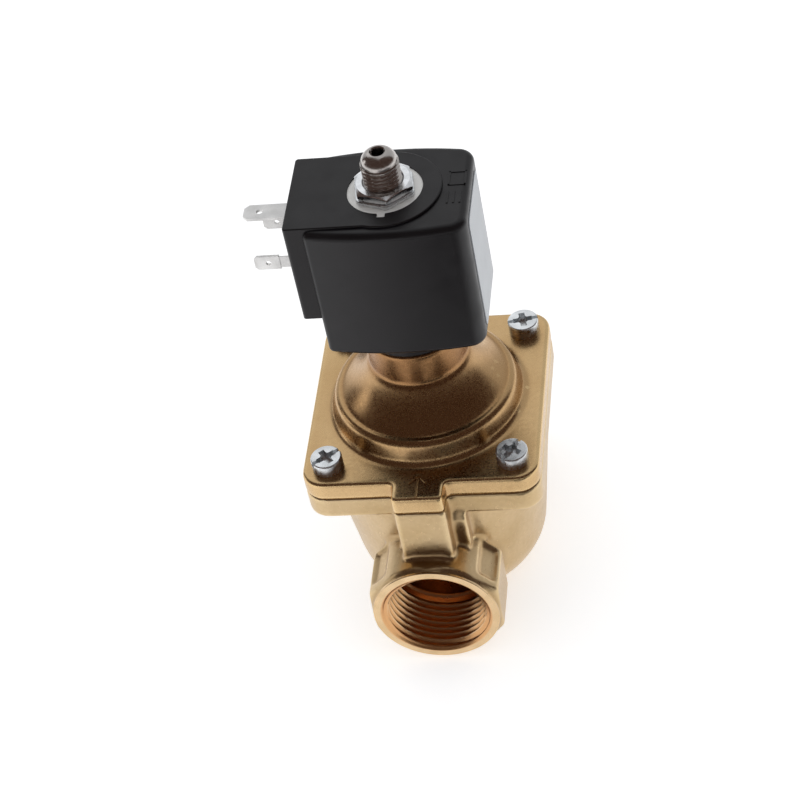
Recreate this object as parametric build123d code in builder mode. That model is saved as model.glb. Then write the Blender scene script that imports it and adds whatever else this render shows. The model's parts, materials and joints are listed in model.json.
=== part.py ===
from build123d import *
import os
from math import cos, radians, sin, sqrt

# Pilot-operated diaphragm solenoid valve with two G1 ports and a three-way pilot.
# Millimetres. The origin is on the valve's vertical axis, in the plane that it stands on.
# +Z runs up the armature tube, +Y is the flow direction and the coil's terminals point to -X.

os.makedirs("parts", exist_ok=True)

# ---------------------------------------------------------------- driving dimensions

# levels along the vertical axis
PORT_AXIS_Z = 20.9
FLANGE_TOP_Z = 67.0
COVER_PLATE = 6.5
BODY_FLANGE = 8.0
NECK_TOP_Z = 98.0
COIL_BOTTOM_Z = 103.5
COIL_TOP_Z = 150.5
STUB_TIP_Z = 164.0

SPLIT_Z = FLANGE_TOP_Z - COVER_PLATE
FLANGE_BOTTOM_Z = SPLIT_Z - BODY_FLANGE

# ports
BODY_LENGTH = 98.0
PORT_THREAD_R = 33.249 / 2
PORT_THREAD_LENGTH = 19.0
PORT_MOUTH_R = 17.3
PORT_RING_R = 19.5
PORT_PASSAGE_R = 14.8
ELBOW_R = 12.5
OUTLET_WIDE_Y = 27.0
OCTAGON_FLATS = 40.0
OCTAGON_BACK_Y = 30.0
BOSS_NECK_R = 18.6
BOSS_CROWN_R = 16.0
POCKET_DEPTH = 0.9
POCKET_LENGTH = 12.6
POCKET_WIDTH = 7.0
POCKET_Y = -37.6
POCKET_SHIFT = 3.8
RIB_FOOT_Z = 36.0
RIB_BACK_Y = -26.0
WEB_FRONT_Y = -36.6
WEB_FOOT_Z = 38.0
WEB_SIDES = ((-9.1, -7.0), (7.0, 12.4))
RIB_CORNER_R = 1.2

# flanges of body and cover
FLANGE_SIDE = 72.0
FLANGE_CORNER_R = 7.0
TAB_WIDTH = 15.5
TAB_REACH = 7.0
ARROW_LINE = 0.9
ARROW_RISE = 0.4
ARROW_LENGTH = 8.4
ARROW_Y = -38.0
BARB_LENGTH = 4.2
BARB_ANGLE = 40
BARB_X = 1.25
BARB_Y = -35.1
SCREW_SPACING = 56.2
SCREW_R = 3.0
SCREW_HEAD_R = 4.8
SCREW_HEAD_HEIGHT = 4.2
SCREW_CROSS = 6.0
SCREW_CROSS_ARM = 1.9
JOINT_CHAMFER = 0.35
STEP_LINE_RISE = 1.5
STEP_LINE_WIDTH = 0.35
STEP_LINE_DEPTH = 0.3

# bowl under the flange
BOWL_TOP_R = 35.6
BOWL_LOW_R = 30.6
BOWL_LOW_Z = 14.0
BOWL_FOOT_R = 15.0
BOWL_WALL = 4.0

# main seat and diaphragm
SEAT_BORE_R = 12.5
SEAT_TOP_Z = 55.9
DIAPHRAGM_THICKNESS = 1.6
DIAPHRAGM_RIM_R = 32.0
CHAMBER_R = 25.0
CHAMBER_ROOF_Z = 72.5
CHAMBER_ROOF_R = 16.0
DISC_R = 18.5
DISC_THICKNESS = 1.5
DISC_SCREW_R = 3.0
DISC_SCREW_FLATS = 10.0
FOLD_R = 22.2
MAIN_SPRING_R = 10.6

# cover dome and neck
DOME_BASE_R = 31.5
LIP_OUTER_R = 28.2
LIP_INNER_R = 25.5
LIP_Z = 74.7
NECK_R = 15.0
NECK_FOOT_Z = 86.9
NECK_BORE_R = 10.5
NECK_FLOOR_Z = 89.0

# pilot
PILOT_Y = -38.4
PILOT_BORE_R = 1.25
PILOT_RISER_R = 0.9
PILOT_RISER_FOOT = (0, -39.4, 59.5)
PILOT_RING_R = 3.0
PILOT_RING_WIRE_R = 0.79
NOZZLE_TOP_Z = 92.0
PLUNGER_STROKE = 1.5
PLUNGER_R = 6.65
TUBE_INNER_R = 6.75
TUBE_OUTER_R = 7.5
TUBE_TOP_Z = 150.0
TUBE_FOOT_R = 9.9
TUBE_FOOT_TOP_Z = NECK_FLOOR_Z + 2.6
CORE_BOTTOM_Z = 125.5
SHADING_OUTER_R = 6.2
SHADING_INNER_R = 5.2
SHADING_TOP_Z = CORE_BOTTOM_Z + 1.4
PLUNGER_SEAL_R = 3.0
PLUNGER_TOP_SEAL_R = 2.4
PLUNGER_SPRING_R = 4.4
PLUNGER_POCKET = 8.0

# exhaust stub
STUB_THREAD_R = 11.113 / 2
STUB_THREAD_DEPTH = 0.78
STUB_PITCH = 1.27
STUB_SHANK_R = 5.3
STUB_BORE_R = 1.8
STUB_THREAD_TOP_Z = 160.6

# coil
COIL_LEFT_X = -22.3
COIL_RIGHT_X = 24.3
COIL_CORNER_Y = 17.3
COIL_BULGE = 2.4
TERMINAL_BLOCK_X = -28.0
TERMINAL_BLOCK_Y = 15.8
TERMINAL_BLOCK_BOTTOM_Z = 116.3
PLATEAU_STEP = 0.8
PLATEAU_R = 16.5
PLATE_R = 11.0
KEY_WIDTH = 2.4
KEY_REACH = 1.5
COIL_BORE_R = 7.65
FRAME_X = 21.0
FRAME_Y = 13.0
FRAME_SHEET = 3.0
BOBBIN_R = 15.5
BLADE_THICKNESS = 0.8
EARTH_WIDTH = 6.3
EARTH_Z = 144.2
EARTH_TIP_X = -42.4
POWER_WIDTH = 4.8
POWER_Z = 133.0
POWER_TIP_X = -40.1
POWER_SPACING = 18.0

# hexagons under the tube's tip
NUT_FLATS = 16.0
NUT_HEIGHT = 2.4
LOCK_FLATS = 16.8
LOCK_THICKNESS = 1.3
NUT_TURN = -18.6

LOCK_Z = COIL_TOP_Z - 0.4
NUT_Z = LOCK_Z + LOCK_THICKNESS
NUT_TOP_Z = NUT_Z + NUT_HEIGHT

PORT_AXIS = Axis((0, 0, PORT_AXIS_Z), (0, 1, 0))
HALF_SCREWS = SCREW_SPACING / 2
TAB_FRONT_Y = -(FLANGE_SIDE / 2 + TAB_REACH)


def flange_outline():
    """Rounded square with the tab that carries the pilot passage, added to the open sketch."""
    RectangleRounded(FLANGE_SIDE, FLANGE_SIDE, FLANGE_CORNER_R)
    with Locations((0, TAB_FRONT_Y / 2 - 7)):
        Rectangle(TAB_WIDTH, abs(TAB_FRONT_Y) - 14)


def fillet_tab(sketch):
    """Round the tab's two outer corners and the two inner corners where it meets the square."""
    outer = sketch.vertices().filter_by_position(Axis.Y, TAB_FRONT_Y - 0.1, TAB_FRONT_Y + 0.1)
    fillet(outer, radius=1.2)
    edge_y = -FLANGE_SIDE / 2
    inner = sketch.vertices().filter_by_position(Axis.Y, edge_y - 0.1, edge_y + 0.1)
    inner = inner.filter_by_position(Axis.X, -TAB_WIDTH / 2 - 0.1, TAB_WIDTH / 2 + 0.1)
    fillet(inner, radius=2.0)


# ---------------------------------------------------------------- valve body

with BuildPart() as port_boss:
    # octagonal wrench boss round the inlet, turned to a cone behind the port face
    with BuildSketch(Plane.XZ.offset(OCTAGON_BACK_Y)):
        with Locations((0, PORT_AXIS_Z)):
            RegularPolygon(OCTAGON_FLATS / 2, 8, major_radius=False, rotation=22.5)
    extrude(amount=BODY_LENGTH / 2 - OCTAGON_BACK_Y)
    # crown and underside are nearly round, and the corners beside the upright flats are crisp
    corners = port_boss.edges().filter_by(Axis.Y)
    fillet(corners.filter_by(lambda edge: abs(edge.center().X) < 10), radius=BOSS_CROWN_R)
    corners = port_boss.edges().filter_by(Axis.Y)
    fillet(corners.filter_by(lambda edge: abs(edge.center().X) > 19), radius=1.0)
    with BuildSketch(Plane.YZ):
        with BuildLine():
            Polyline(
                (-BODY_LENGTH / 2, PORT_AXIS_Z),
                (-BODY_LENGTH / 2, PORT_AXIS_Z + PORT_RING_R),
                (-BODY_LENGTH / 2 + 1.2, PORT_AXIS_Z + PORT_RING_R),
                (-BODY_LENGTH / 2 + 3.4, PORT_AXIS_Z + OCTAGON_FLATS / 2 + 3.0),
                (-OCTAGON_BACK_Y + 1, PORT_AXIS_Z + OCTAGON_FLATS / 2 + 3.0),
                (-OCTAGON_BACK_Y + 1, PORT_AXIS_Z),
                close=True,
            )
        make_face()
    revolve(axis=PORT_AXIS, mode=Mode.INTERSECT)
    # shallow cast pockets in the slanting flats, on the side next to the upright flats
    for angle, turn in ((45, -1), (135, 1), (225, -1), (315, 1)):
        out = Vector(cos(radians(angle)), 0, sin(radians(angle)))
        along = Vector(-out.Z, 0, out.X) * turn
        centre = Vector(0, POCKET_Y, PORT_AXIS_Z) + out * (OCTAGON_FLATS / 2)
        with BuildSketch(Plane(origin=centre + along * POCKET_SHIFT, x_dir=(0, 1, 0), z_dir=out)):
            RectangleRounded(POCKET_LENGTH, POCKET_WIDTH, 0.8)
        extrude(amount=-POCKET_DEPTH, mode=Mode.SUBTRACT)

with BuildPart() as valve_body:
    # flange
    with BuildSketch(Plane.XY.offset(FLANGE_BOTTOM_Z)) as body_flange:
        flange_outline()
        fillet_tab(body_flange)
    extrude(amount=BODY_FLANGE)
    fillet(valve_body.faces().sort_by(Axis.Z)[0].edges(), radius=1.0)
    chamfer(valve_body.faces().sort_by(Axis.Z)[-1].edges(), length=JOINT_CHAMFER)
    # bowl: tapered wall, rounded into a flat foot
    with BuildSketch(Plane.XZ):
        with BuildLine():
            Polyline(
                (0, 0), (0, FLANGE_BOTTOM_Z + 1), (BOWL_TOP_R, FLANGE_BOTTOM_Z + 1),
                (BOWL_TOP_R, FLANGE_BOTTOM_Z), (BOWL_LOW_R, BOWL_LOW_Z),
            )
            TangentArc(
                (BOWL_LOW_R, BOWL_LOW_Z), (BOWL_FOOT_R, 0),
                tangent=(BOWL_LOW_R - BOWL_TOP_R, BOWL_LOW_Z - FLANGE_BOTTOM_Z),
            )
            Line((BOWL_FOOT_R, 0), (0, 0))
        make_face()
    revolve(axis=Axis.Z)
    # a boss at each end, and the round necks that join them to the bowl
    add(port_boss.part)
    add(port_boss.part.mirror(Plane.XZ))
    with BuildSketch(Plane.XZ.offset(-OCTAGON_BACK_Y - 1)):
        with Locations((0, PORT_AXIS_Z)):
            Circle(BOSS_NECK_R)
    extrude(amount=2 * OCTAGON_BACK_Y + 2)
    # rib with the pilot passage, between the tab and the inlet boss
    with BuildSketch(Plane.XY.offset(RIB_FOOT_Z)):
        with Locations((0, (TAB_FRONT_Y + RIB_BACK_Y) / 2)):
            RectangleRounded(TAB_WIDTH, RIB_BACK_Y - TAB_FRONT_Y, RIB_CORNER_R)
    extrude(amount=FLANGE_BOTTOM_Z + 2 - RIB_FOOT_Z)
    # webs beside the rib: a broad one on the right and only a sliver on the left
    for web_left, web_right in WEB_SIDES:
        with BuildSketch(Plane.YZ.offset(web_left)):
            with BuildLine():
                Polyline(
                    (RIB_BACK_Y, FLANGE_BOTTOM_Z + 0.5), (WEB_FRONT_Y, FLANGE_BOTTOM_Z + 0.5),
                    (WEB_FRONT_Y - 0.6, FLANGE_BOTTOM_Z - 2), (WEB_FRONT_Y, WEB_FOOT_Z),
                    (RIB_BACK_Y, WEB_FOOT_Z),
                    close=True,
                )
            make_face()
        extrude(amount=web_right - web_left)
    # bowl's inside
    with BuildSketch(Plane.XZ):
        with BuildLine():
            inner_low = BOWL_LOW_R - BOWL_WALL
            Polyline(
                (0, BOWL_WALL), (0, SPLIT_Z), (CHAMBER_R + 0.5, SPLIT_Z),
                (CHAMBER_R + 0.5, 48), (BOWL_TOP_R - BOWL_WALL - 1, 40), (inner_low, BOWL_LOW_Z),
            )
            ThreePointArc((inner_low, BOWL_LOW_Z), (inner_low - 5.5, 6.6), (12, BOWL_WALL))
            Line((12, BOWL_WALL), (0, BOWL_WALL))
        make_face()
    revolve(axis=Axis.Z, mode=Mode.SUBTRACT)
    # elbow from the main seat to the outlet
    with BuildSketch(Plane.XY.offset(1.0)):
        Circle(SEAT_BORE_R + 3.3)
    extrude(amount=SEAT_TOP_Z - 2.5)
    with BuildSketch(Plane.XY.offset(SEAT_TOP_Z - 1.5)):
        Circle(SEAT_BORE_R + 1.6)
    extrude(amount=1.5)
    with BuildSketch(Plane.XZ):
        with Locations((0, PORT_AXIS_Z)):
            Circle(ELBOW_R + 3.0)
    extrude(amount=-33)
    with BuildSketch(Plane.XY.offset(PORT_AXIS_Z)):
        Circle(SEAT_BORE_R)
    extrude(amount=SEAT_TOP_Z - PORT_AXIS_Z, mode=Mode.SUBTRACT)
    with Locations((0, 0, PORT_AXIS_Z)):
        Sphere(SEAT_BORE_R, mode=Mode.SUBTRACT)
    with BuildSketch(Plane.XZ):
        with Locations((0, PORT_AXIS_Z)):
            Circle(ELBOW_R)
    extrude(amount=-BODY_LENGTH / 2, mode=Mode.SUBTRACT)
    with BuildSketch(Plane.XZ.offset(-OUTLET_WIDE_Y)):
        with Locations((0, PORT_AXIS_Z)):
            Circle(PORT_PASSAGE_R)
    extrude(amount=OUTLET_WIDE_Y - BODY_LENGTH / 2, mode=Mode.SUBTRACT)
    # inlet passage
    with BuildSketch(Plane.XZ.offset(21.0)):
        with Locations((0, PORT_AXIS_Z)):
            Circle(PORT_PASSAGE_R)
    extrude(amount=BODY_LENGTH / 2 - 21.0, mode=Mode.SUBTRACT)
    # threaded length and mouth of each port
    for side in (-1, 1):
        mouth = side * BODY_LENGTH / 2
        floor = mouth - side * PORT_THREAD_LENGTH
        with BuildSketch(Plane.YZ):
            with BuildLine():
                Polyline(
                    (mouth, PORT_AXIS_Z),
                    (mouth, PORT_AXIS_Z + PORT_MOUTH_R),
                    (mouth - side * 0.7, PORT_AXIS_Z + PORT_THREAD_R),
                    (floor, PORT_AXIS_Z + PORT_THREAD_R),
                    (floor - side * 1.8, PORT_AXIS_Z + PORT_PASSAGE_R + 0.6),
                    (floor - side * 1.8, PORT_AXIS_Z),
                    close=True,
                )
            make_face()
        revolve(axis=PORT_AXIS, mode=Mode.SUBTRACT)
    # diaphragm recess, pilot passage and its O-ring groove, screw holes
    with Locations((0, 0, SPLIT_Z)):
        CounterBoreHole(
            CHAMBER_R + 0.5, DIAPHRAGM_RIM_R, DIAPHRAGM_THICKNESS, depth=6.0
        )
    with Locations((0, PILOT_Y, SPLIT_Z)):
        Hole(PILOT_BORE_R, depth=SPLIT_Z - PORT_AXIS_Z - PORT_THREAD_R + 2)
    with BuildSketch(Plane.XY.offset(SPLIT_Z)):
        with Locations((0, PILOT_Y)):
            Circle(PILOT_RING_R + 0.8)
            Circle(PILOT_RING_R - 0.8, mode=Mode.SUBTRACT)
    extrude(amount=-1.6, mode=Mode.SUBTRACT)
    with Locations(Location((0, 0, SPLIT_Z))):
        with GridLocations(SCREW_SPACING, SCREW_SPACING, 2, 2):
            Hole(SCREW_R, depth=BODY_FLANGE - 1.0)

valve_body.part.label = "valve_body"
export_step(valve_body.part, "parts/valve_body.step")

# ---------------------------------------------------------------- cover

with BuildPart() as cover:
    with BuildSketch(Plane.XY.offset(SPLIT_Z)) as cover_flange:
        flange_outline()
        fillet_tab(cover_flange)
    extrude(amount=COVER_PLATE)
    fillet(cover.faces().sort_by(Axis.Z)[-1].edges(), radius=0.9)
    chamfer(cover.faces().sort_by(Axis.Z)[0].edges(), length=JOINT_CHAMFER)
    # fine step line round the cover's side, just over the joint
    with BuildSketch(Plane.XY.offset(SPLIT_Z + STEP_LINE_RISE)) as step_line:
        flange_outline()
        fillet_tab(step_line)
        offset(amount=-STEP_LINE_DEPTH, kind=Kind.INTERSECTION, mode=Mode.SUBTRACT)
    extrude(amount=STEP_LINE_WIDTH, mode=Mode.SUBTRACT)
    # ring, lip, dome and neck, turned round the vertical axis
    with BuildSketch(Plane.XZ):
        with BuildLine():
            Polyline((0, SPLIT_Z + 1), (DOME_BASE_R, SPLIT_Z + 1), (DOME_BASE_R, FLANGE_TOP_Z))
            ThreePointArc((DOME_BASE_R, FLANGE_TOP_Z), (29.7, 67.7), (29.0, 69.2))
            Line((29.0, 69.2), (LIP_OUTER_R, 72.9))
            ThreePointArc((LIP_OUTER_R, 72.9), (27.4, 74.3), (26.2, 74.9))
            Line((26.2, 74.9), (LIP_INNER_R, LIP_Z))
            ThreePointArc((LIP_INNER_R, LIP_Z), (20.0, 79.6), (NECK_R + 0.9, 85.9))
            ThreePointArc((NECK_R + 0.9, 85.9), (NECK_R + 0.2, 86.6), (NECK_R, NECK_FOOT_Z + 0.6))
            Polyline(
                (NECK_R, NECK_FOOT_Z + 0.6), (NECK_R, NECK_TOP_Z - 0.6),
                (NECK_R - 0.6, NECK_TOP_Z), (0, NECK_TOP_Z), (0, SPLIT_Z + 1),
            )
        make_face()
    revolve(axis=Axis.Z)
    # cast arrow that shows the flow direction
    with BuildSketch(Plane.XY.offset(FLANGE_TOP_Z - 0.2)) as flow_arrow:
        with Locations((0, ARROW_Y)):
            Rectangle(ARROW_LINE, ARROW_LENGTH)
        for side in (-1, 1):
            with Locations(Location((side * BARB_X, BARB_Y), side * BARB_ANGLE)):
                Rectangle(ARROW_LINE, BARB_LENGTH)
    extrude(amount=ARROW_RISE + 0.2)
    # chamber over the diaphragm, with a flat roof for the spring
    with BuildSketch(Plane.XZ):
        with BuildLine():
            Polyline(
                (0, SPLIT_Z), (CHAMBER_R, SPLIT_Z), (CHAMBER_R, 65.5),
                (CHAMBER_ROOF_R, CHAMBER_ROOF_Z), (0, CHAMBER_ROOF_Z), close=True,
            )
        make_face()
    revolve(axis=Axis.Z, mode=Mode.SUBTRACT)
    # neck bore, with a nozzle left standing in the middle of its floor
    with BuildSketch(Plane.XZ):
        with BuildLine():
            Polyline(
                (3.4, NECK_FLOOR_Z), (NECK_BORE_R, NECK_FLOOR_Z), (NECK_BORE_R, NECK_TOP_Z),
                (0, NECK_TOP_Z), (0, NOZZLE_TOP_Z), (2.0, NOZZLE_TOP_Z), close=True,
            )
        make_face()
    revolve(axis=Axis.Z, mode=Mode.SUBTRACT)
    # pilot drilling up to the nozzle, and the hole between tube and chamber
    with Locations((0, 0, NOZZLE_TOP_Z)):
        Hole(1.2, depth=NOZZLE_TOP_Z - 85.0)
    rise = Vector(0, 0, 85.2) - Vector(*PILOT_RISER_FOOT)
    with BuildSketch(Plane(origin=PILOT_RISER_FOOT, x_dir=(1, 0, 0), z_dir=rise)):
        Circle(PILOT_RISER_R)
    extrude(amount=rise.length, mode=Mode.SUBTRACT)
    with Locations((5.2, 0, NECK_FLOOR_Z)):
        Hole(1.0, depth=NECK_FLOOR_Z - CHAMBER_ROOF_Z)
    with Locations(Location((0, 0, FLANGE_TOP_Z))):
        with GridLocations(SCREW_SPACING, SCREW_SPACING, 2, 2):
            Hole(SCREW_R + 0.3, depth=COVER_PLATE)

cover.part.label = "cover"
export_step(cover.part, "parts/cover.step")

with BuildPart() as cover_screws:
    # cheese head with a slot and a cross recess; the heads stand turned differently
    for x, y, turn in ((-1, -1, 38), (1, -1, 62), (1, 1, 12), (-1, 1, 75)):
        seat = Plane((x * HALF_SCREWS, y * HALF_SCREWS, FLANGE_TOP_Z)).rotated((0, 0, turn))
        with BuildSketch(seat):
            Circle(SCREW_HEAD_R)
        extrude(amount=SCREW_HEAD_HEIGHT)
        with BuildSketch(seat):
            Circle(SCREW_R - 0.03)
        extrude(amount=-(COVER_PLATE + BODY_FLANGE - 2.0))
        head_top = seat.offset(SCREW_HEAD_HEIGHT)
        with BuildSketch(head_top):
            Rectangle(2 * SCREW_HEAD_R + 1, 1.3)
        extrude(amount=-1.3, mode=Mode.SUBTRACT)
        with BuildSketch(head_top):
            Rectangle(SCREW_CROSS, SCREW_CROSS_ARM)
            Rectangle(SCREW_CROSS_ARM, SCREW_CROSS)
            Rectangle(3.4, 3.4, rotation=45)
        extrude(amount=-2.4, taper=8, mode=Mode.SUBTRACT)
    head_rims = cover_screws.edges().filter_by(GeomType.CIRCLE).group_by(Axis.Z)[-1]
    fillet(head_rims.filter_by(lambda edge: edge.radius > SCREW_HEAD_R - 0.1), radius=0.5)

cover_screws.part.label = "cover_screws"
export_step(cover_screws.part, "parts/cover_screws.step")

# ---------------------------------------------------------------- diaphragm and main spring

SEAL_Z = SEAT_TOP_Z
SHEET_Z = SPLIT_Z - DIAPHRAGM_THICKNESS
DISC_TOP_Z = SPLIT_Z + DISC_THICKNESS

with BuildPart() as diaphragm:
    # flat sheet with one round fold, clamped at its rim
    hole_r = DISC_SCREW_R + 0.1
    with BuildSketch(Plane.XZ):
        with BuildLine():
            Polyline((hole_r, SHEET_Z), (FOLD_R - 1.4, SHEET_Z), (FOLD_R - 1.4, SPLIT_Z))
            ThreePointArc((FOLD_R - 1.4, SPLIT_Z), (FOLD_R, SPLIT_Z + 1.4), (FOLD_R + 1.4, SPLIT_Z))
            Polyline(
                (FOLD_R + 1.4, SPLIT_Z), (FOLD_R + 1.4, SHEET_Z), (DIAPHRAGM_RIM_R, SHEET_Z),
                (DIAPHRAGM_RIM_R, SPLIT_Z), (FOLD_R + 2.6, SPLIT_Z),
            )
            ThreePointArc((FOLD_R + 2.6, SPLIT_Z), (FOLD_R, SPLIT_Z + 2.6), (FOLD_R - 2.6, SPLIT_Z))
            Polyline((FOLD_R - 2.6, SPLIT_Z), (hole_r, SPLIT_Z), (hole_r, SHEET_Z))
        make_face()
    revolve(axis=Axis.Z)

diaphragm.part.label = "diaphragm"
export_step(diaphragm.part, "parts/diaphragm.step")

with BuildPart() as main_seal_disc:
    # seal that closes the main seat, under the diaphragm
    with BuildSketch(Plane.XY.offset(SEAL_Z)):
        Circle(SEAT_BORE_R + 2.6)
        Circle(DISC_SCREW_R, mode=Mode.SUBTRACT)
    extrude(amount=SHEET_Z - SEAL_Z)
    fillet(main_seal_disc.faces().sort_by(Axis.Z)[0].outer_wire().edges(), radius=0.6)

main_seal_disc.part.label = "main_seal_disc"
export_step(main_seal_disc.part, "parts/main_seal_disc.step")

with BuildPart() as diaphragm_support:
    # pressed steel disc over the diaphragm, with a raised ring that centres the spring
    with BuildSketch(Plane.XY.offset(SPLIT_Z)):
        Circle(DISC_R)
        Circle(DISC_SCREW_R, mode=Mode.SUBTRACT)
    extrude(amount=DISC_THICKNESS)
    with BuildSketch(Plane.XY.offset(DISC_TOP_Z)):
        Circle(MAIN_SPRING_R + 2.8)
        Circle(MAIN_SPRING_R + 1.6, mode=Mode.SUBTRACT)
    extrude(amount=1.0)
    fillet(diaphragm_support.faces().sort_by(Axis.Z)[0].outer_wire().edges(), radius=0.6)

diaphragm_support.part.label = "diaphragm_support"
export_step(diaphragm_support.part, "parts/diaphragm_support.step")

with BuildPart() as diaphragm_screw:
    # screw up through seal, diaphragm and support
    with BuildSketch(Plane.XY.offset(SEAL_Z - 3.0)):
        RegularPolygon(DISC_SCREW_FLATS / 2, 6, major_radius=False)
    extrude(amount=3.0)
    chamfer(diaphragm_screw.faces().sort_by(Axis.Z)[0].edges(), length=0.5)
    with BuildSketch(Plane.XY.offset(SEAL_Z)):
        Circle(DISC_SCREW_R)
    extrude(amount=SPLIT_Z + 5.0 - SEAL_Z)

diaphragm_screw.part.label = "diaphragm_screw"
export_step(diaphragm_screw.part, "parts/diaphragm_screw.step")

with BuildPart() as diaphragm_nut:
    with BuildSketch(Plane.XY.offset(DISC_TOP_Z)):
        RegularPolygon(DISC_SCREW_FLATS / 2, 6, major_radius=False)
        Circle(DISC_SCREW_R, mode=Mode.SUBTRACT)
    extrude(amount=3.2)
    chamfer(diaphragm_nut.faces().sort_by(Axis.Z)[-1].outer_wire().edges(), length=0.5)

diaphragm_nut.part.label = "diaphragm_nut"
export_step(diaphragm_nut.part, "parts/diaphragm_nut.step")


def coil_spring(foot_z, height, mean_r, wire_r, turns):
    """Helical compression spring; its last half turns are cut flat at both ends."""
    pitch = (height - 0.4 * wire_r) / turns
    with BuildPart() as spring:
        with BuildLine():
            coil = Helix(pitch, pitch * turns, mean_r, center=(0, 0, foot_z + 0.2 * wire_r))
        with BuildSketch(Plane(origin=coil @ 0, x_dir=(1, 0, 0), z_dir=coil % 0)):
            Circle(wire_r)
        sweep(path=coil, is_frenet=True)
        with BuildSketch(Plane.XY.offset(foot_z)):
            Circle(mean_r + 2 * wire_r)
        extrude(amount=height, mode=Mode.INTERSECT)
    return spring.part


with BuildPart() as main_spring:
    add(coil_spring(DISC_TOP_Z, CHAMBER_ROOF_Z - DISC_TOP_Z, MAIN_SPRING_R, 0.6, 4))

main_spring.part.label = "main_spring"
export_step(main_spring.part, "parts/main_spring.step")

with BuildPart() as pilot_o_ring:
    with BuildSketch(Plane.XZ.offset(-PILOT_Y)):
        with Locations((PILOT_RING_R, SPLIT_Z - PILOT_RING_WIRE_R)):
            Circle(PILOT_RING_WIRE_R)
    revolve(axis=Axis((0, PILOT_Y, 0), (0, 0, 1)))

pilot_o_ring.part.label = "pilot_o_ring"
export_step(pilot_o_ring.part, "parts/pilot_o_ring.step")

# ---------------------------------------------------------------- armature tube and pilot

with BuildPart() as tube_o_ring:
    with BuildSketch(Plane.XZ):
        with Locations((8.9, NECK_FLOOR_Z + 0.7)):
            Circle(0.7)
    revolve(axis=Axis.Z)

tube_o_ring.part.label = "tube_o_ring"
export_step(tube_o_ring.part, "parts/tube_o_ring.step")

with BuildPart() as armature_tube:
    # thin steel tube with a turned-out foot, closed at the top by the fixed core
    with BuildSketch(Plane.XZ):
        with BuildLine():
            Polyline(
                (TUBE_INNER_R, NECK_FLOOR_Z + 1.4), (TUBE_FOOT_R, NECK_FLOOR_Z + 1.4),
                (TUBE_FOOT_R, TUBE_FOOT_TOP_Z), (TUBE_OUTER_R, TUBE_FOOT_TOP_Z),
                (TUBE_OUTER_R, TUBE_TOP_Z), (TUBE_INNER_R, TUBE_TOP_Z), close=True,
            )
        make_face()
    revolve(axis=Axis.Z)

armature_tube.part.label = "armature_tube"
export_step(armature_tube.part, "parts/armature_tube.step")

with BuildPart() as tube_bush:
    # ring that is screwed into the neck and holds down the tube's foot
    with BuildSketch(Plane.XY.offset(TUBE_FOOT_TOP_Z)):
        Circle(NECK_BORE_R)
        Circle(TUBE_OUTER_R, mode=Mode.SUBTRACT)
    extrude(amount=NECK_TOP_Z - TUBE_FOOT_TOP_Z)
    with BuildSketch(Plane.XY.offset(NECK_TOP_Z)):
        Rectangle(2 * NECK_BORE_R + 1, 1.6)
    extrude(amount=-1.6, mode=Mode.SUBTRACT)

tube_bush.part.label = "tube_bush"
export_step(tube_bush.part, "parts/tube_bush.step")

PLUNGER_FOOT_Z = NOZZLE_TOP_Z + 0.6
PLUNGER_HEAD_Z = CORE_BOTTOM_Z - PLUNGER_STROKE

with BuildPart() as plunger:
    with BuildSketch(Plane.XY.offset(PLUNGER_FOOT_Z)):
        Circle(PLUNGER_R)
    extrude(amount=PLUNGER_HEAD_Z - PLUNGER_FOOT_Z)
    chamfer(plunger.edges().filter_by(GeomType.CIRCLE), length=0.4)
    # pocket for the lower seal, ring groove for the spring, pocket for the upper seal
    with Locations((0, 0, PLUNGER_FOOT_Z)):
        Cylinder(
            PLUNGER_SEAL_R, 2.0, align=(Align.CENTER, Align.CENTER, Align.MIN),
            mode=Mode.SUBTRACT,
        )
    with BuildSketch(Plane.XY.offset(PLUNGER_HEAD_Z)):
        Circle(PLUNGER_SPRING_R + 1.1)
        Circle(PLUNGER_SPRING_R - 1.1, mode=Mode.SUBTRACT)
    extrude(amount=-PLUNGER_POCKET, mode=Mode.SUBTRACT)
    with BuildSketch(Plane.XY.offset(PLUNGER_HEAD_Z)):
        Circle(PLUNGER_TOP_SEAL_R)
    extrude(amount=-2.0, mode=Mode.SUBTRACT)
    # two grooves down the sides, which let the medium past
    with BuildSketch(Plane.XY.offset(PLUNGER_FOOT_Z)):
        with Locations((PLUNGER_R, 0), (-PLUNGER_R, 0)):
            Rectangle(1.4, 2.0)
    extrude(amount=PLUNGER_HEAD_Z - PLUNGER_FOOT_Z, mode=Mode.SUBTRACT)

plunger.part.label = "plunger"
export_step(plunger.part, "parts/plunger.step")

with BuildPart() as plunger_lower_seal:
    with BuildSketch(Plane.XY.offset(NOZZLE_TOP_Z)):
        Circle(PLUNGER_SEAL_R)
    extrude(amount=2.6)

plunger_lower_seal.part.label = "plunger_lower_seal"
export_step(plunger_lower_seal.part, "parts/plunger_lower_seal.step")

with BuildPart() as plunger_upper_seal:
    with BuildSketch(Plane.XY.offset(PLUNGER_HEAD_Z - 2.0)):
        Circle(PLUNGER_TOP_SEAL_R)
    extrude(amount=2.0)

plunger_upper_seal.part.label = "plunger_upper_seal"
export_step(plunger_upper_seal.part, "parts/plunger_upper_seal.step")

with BuildPart() as plunger_spring:
    spring_height = PLUNGER_POCKET + PLUNGER_STROKE
    add(coil_spring(CORE_BOTTOM_Z - spring_height, spring_height, PLUNGER_SPRING_R, 0.4, 5))

plunger_spring.part.label = "plunger_spring"
export_step(plunger_spring.part, "parts/plunger_spring.step")

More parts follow.
